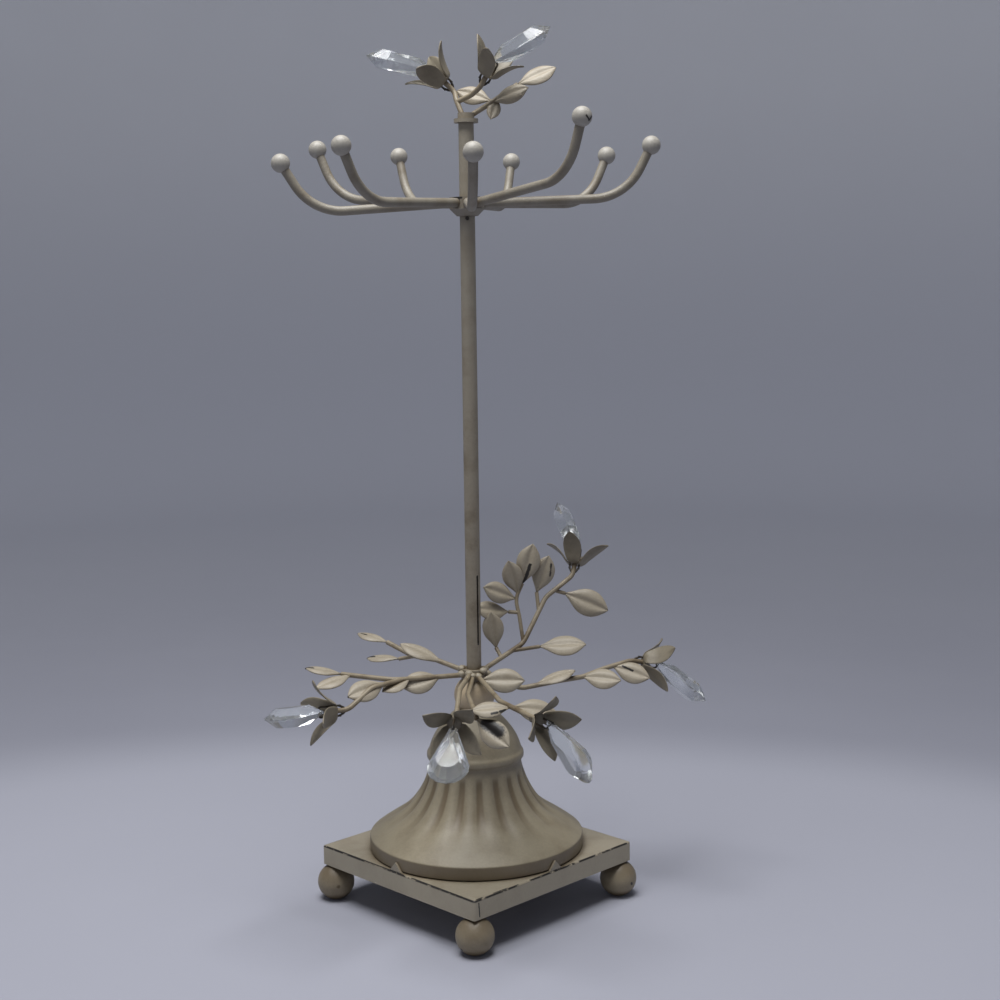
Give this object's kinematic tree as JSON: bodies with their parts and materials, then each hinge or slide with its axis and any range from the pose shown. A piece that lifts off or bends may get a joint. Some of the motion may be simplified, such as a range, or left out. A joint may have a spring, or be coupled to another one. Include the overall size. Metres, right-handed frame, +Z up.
{
  "type": "jewelry stand",
  "caption": "Painted metal jewelry stand: fluted bell base on ball feet, slim pole with a turning carousel of bent arms, leaf and flower sprays with glass drops.",
  "frame": {"origin": "on the floor under the axis of the pole", "axes": "+Z up along the pole, -Y to the corner of the tray that faces the camera, +X to the right in the picture"},
  "size_m": [0.2328, 0.196, 0.4632],
  "materials": {
    "tray_paint": "satin ivory paint, worn at the edges",
    "foot_paint": "satin paint under a brown wash",
    "bell_paint": "satin ivory paint, brown in the flutes",
    "pole_paint": "satin ivory paint, thinly washed brown",
    "arm_paint": "satin ivory paint, worn at the ends",
    "leaf_paint": "matt ivory paint, brown in the veins",
    "petal_paint": "matt ivory paint under a dark wash",
    "stem_paint": "matt brown paint",
    "dark_wire": "matt dark",
    "steel": "plain",
    "clear_glass": "clear, faceted"
  },
  "bodies": {
    "stand": {"base_plate": "tray_paint", "foot_right": "foot_paint", "foot_back": "foot_paint", "foot_left": "foot_paint", "foot_front": "foot_paint", "foot_studs": "steel", "bell_pedestal": "bell_paint", "neck_ball": "bell_paint", "pole": "pole_paint", "pole_insert": "steel", "tie_rod": "steel", "base_washer": "steel", "base_nut": "steel", "hub_pin": "dark_wire", "top_cap": "pole_paint", "spray_collar": "pole_paint", "top_stems": "stem_paint", "top_leaves": "leaf_paint", "drop_wires": "dark_wire", "branch_left_back": "stem_paint", "branch_left": "stem_paint", "branch_front": "stem_paint", "branch_front_right": "stem_paint", "branch_right": "stem_paint", "branch_tall": "stem_paint", "leaves_left_back": "leaf_paint", "leaves_left": "leaf_paint", "leaves_front": "leaf_paint", "leaves_front_right": "leaf_paint", "leaves_right": "leaf_paint", "leaves_tall": "leaf_paint", "flower_left": "petal_paint", "flower_front": "petal_paint", "flower_front_right": "petal_paint", "flower_right": "petal_paint", "flower_tall": "petal_paint", "flower_top_left": "petal_paint", "flower_top_right": "petal_paint"},
    "carousel": {"hub": "pole_paint", "arm_1": "arm_paint", "arm_2": "arm_paint", "arm_3": "arm_paint", "arm_4": "arm_paint", "arm_5": "arm_paint", "arm_6": "arm_paint", "arm_7": "arm_paint", "arm_8": "arm_paint", "arm_9": "arm_paint", "arm_balls": "arm_paint"},
    "drop_left": {"crystal_left": "clear_glass"},
    "drop_front": {"crystal_front": "clear_glass"},
    "drop_front_right": {"crystal_front_right": "clear_glass"},
    "drop_right": {"crystal_right": "clear_glass"},
    "drop_tall": {"crystal_tall": "clear_glass"},
    "drop_top_left": {"crystal_top_left": "clear_glass"},
    "drop_top_right": {"crystal_top_right": "clear_glass"}
  },
  "joints": [
    {"name": "carousel_turn", "type": "hinge", "parent": "stand", "child": "carousel", "pos_m": [0, 0, 0.3765], "axis": [0, 0, 1], "continuous": true},
    {"name": "drop_left_tilt", "type": "hinge", "parent": "stand", "child": "drop_left", "pos_m": [-0.07908, -0.04794, 0.11781], "axis": [-0.059, 0.1816, 0.9816], "range_deg": [-55, 16]},
    {"name": "drop_front_tilt", "type": "hinge", "parent": "stand", "child": "drop_front", "pos_m": [-0.00977, -0.07077, 0.11313], "axis": [-0.0423, -0.483, 0.8746], "range_deg": [-52, 52]},
    {"name": "drop_front_right_tilt", "type": "hinge", "parent": "stand", "child": "drop_front_right", "pos_m": [0.03873, -0.07883, 0.11775], "axis": [0.8197, 0.4993, 0.2806], "range_deg": [-55, 14]},
    {"name": "drop_right_tilt", "type": "hinge", "parent": "stand", "child": "drop_right", "pos_m": [0.1017, 0.01969, 0.12494], "axis": [0.6011, 0.2937, 0.7432], "range_deg": [-48, 36]},
    {"name": "drop_tall_tilt", "type": "hinge", "parent": "stand", "child": "drop_tall", "pos_m": [0.05851, 0.05366, 0.18405], "axis": [0.9382, 0.0752, 0.3379], "range_deg": [-28, 54]},
    {"name": "drop_top_left_tilt", "type": "hinge", "parent": "stand", "child": "drop_top_left", "pos_m": [-0.01765, 0.0073, 0.44502], "axis": [0.232, -0.0894, 0.9686], "range_deg": [-28, 28]},
    {"name": "drop_top_right_tilt", "type": "hinge", "parent": "stand", "child": "drop_top_right", "pos_m": [0.01547, -0.00858, 0.44787], "axis": [-0.5059, -0.1615, 0.8473], "range_deg": [-16, 46]}
  ]
}
